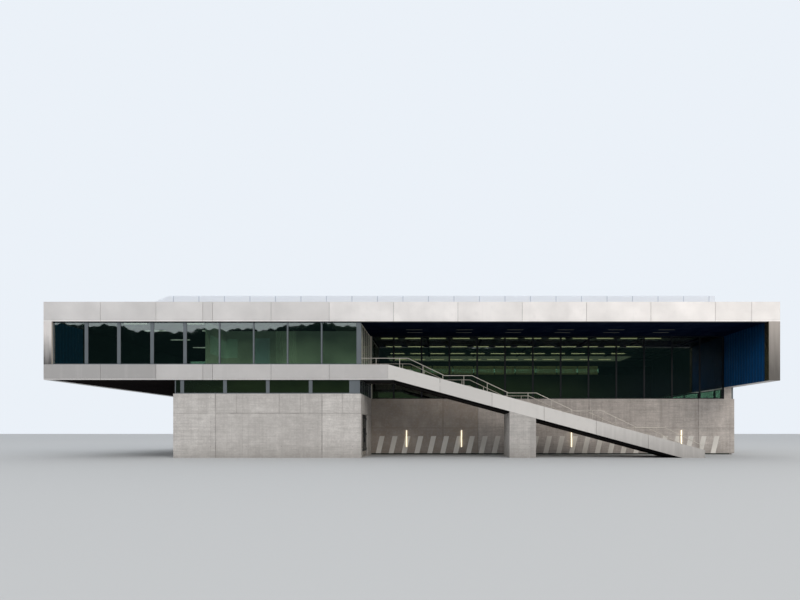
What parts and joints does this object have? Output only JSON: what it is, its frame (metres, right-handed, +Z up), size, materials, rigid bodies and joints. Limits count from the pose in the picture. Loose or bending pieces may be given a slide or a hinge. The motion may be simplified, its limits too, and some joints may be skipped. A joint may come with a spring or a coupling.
{
  "type": "sports hall building, 1:2 scale model",
  "caption": "Sports hall with a stainless upper storey over concrete walls, a deep loggia, a long outside stair and a double door, as a half-size scale model",
  "frame": {"origin": "bottom centre of the bounding box, on the ground", "axes": "+X right along the front, +Y to the back, +Z up"},
  "size_m": [25.76, 11.25, 6.4],
  "materials": {
    "concrete": "board marked grey cast concrete",
    "stair_concrete": "dark smooth concrete",
    "stainless": "bead blasted stainless sheet",
    "polished_tube": "ground stainless tube",
    "frame_paint": "grey blue matt paint",
    "dark_frame_paint": "near black matt paint",
    "navy_paint": "dark navy matt paint",
    "blue_sheet": "deep blue ribbed painted sheet",
    "truss_paint": "blue grey painted steel",
    "tinted_glass": "dark green solar glass",
    "translucent_sheet": "pale blue translucent sheet",
    "roofing": "pale roof gravel",
    "warm_lamp": "opal glass tube, lit",
    "dim_lamp": "opal glass, dimly lit"
  },
  "bodies": {
    "building": {"ground_floors": "concrete", "block_front_wall": "concrete", "block_left_wall": "concrete", "return_walls": "concrete", "return_lintel": "concrete", "hall_front_wall": "concrete", "right_plinth_wall": "concrete", "rear_plinth_wall": "concrete", "hall_left_walls": "concrete", "corner_piers": "concrete", "strip_window_frames": "frame_paint", "strip_window_glass": "tinted_glass", "upper_window_frames": "frame_paint", "upper_window_glass": "tinted_glass", "hall_glazing_frames": "dark_frame_paint", "hall_glazing": "tinted_glass", "upper_floor_slab": "concrete", "overhang_soffit": "navy_paint", "window_upstands": "concrete", "hall_rear_wall": "stainless", "upper_fascia_panels": "stainless", "lower_fascia_panels": "stainless", "end_panels": "stainless", "left_end_wall": "stainless", "right_end_wall": "stainless", "blue_linings": "blue_sheet", "parapets": "stainless", "loggia_soffit": "navy_paint", "roof_deck": "roofing", "roof_curb": "frame_paint", "roof_trusses": "truss_paint", "lantern_glazing": "translucent_sheet", "stair_top_landing": "stair_concrete", "stair_flight_1": "stair_concrete", "stair_flight_2": "stair_concrete", "stair_flight_3": "stair_concrete", "stair_flight_4": "stair_concrete", "stair_flight_5": "stair_concrete", "stair_outer_cladding": "stainless", "stair_inner_cladding": "stainless", "stair_pier": "concrete", "outer_guard": "polished_tube", "inner_guard": "polished_tube", "door_jambs": "dark_frame_paint", "door_head": "dark_frame_paint", "door_threshold": "concrete", "wall_lamps": "warm_lamp", "soffit_lamps": "dim_lamp", "lamp_tracks": "dark_frame_paint"},
    "front_leaf": {"front_door_leaf": "dark_frame_paint", "front_door_light": "tinted_glass"},
    "rear_leaf": {"rear_door_leaf": "dark_frame_paint", "rear_door_light": "tinted_glass"}
  },
  "joints": [
    {"name": "front_leaf_hinge", "type": "hinge", "parent": "building", "child": "front_leaf", "pos_m": [-1.808, -5.212, 0.8], "axis": [0, 0, -1], "range_deg": [0, 90]},
    {"name": "rear_leaf_hinge", "type": "hinge", "parent": "building", "child": "rear_leaf", "pos_m": [-1.808, -3.838, 0.8], "axis": [0, 0, 1], "range_deg": [0, 90]}
  ]
}
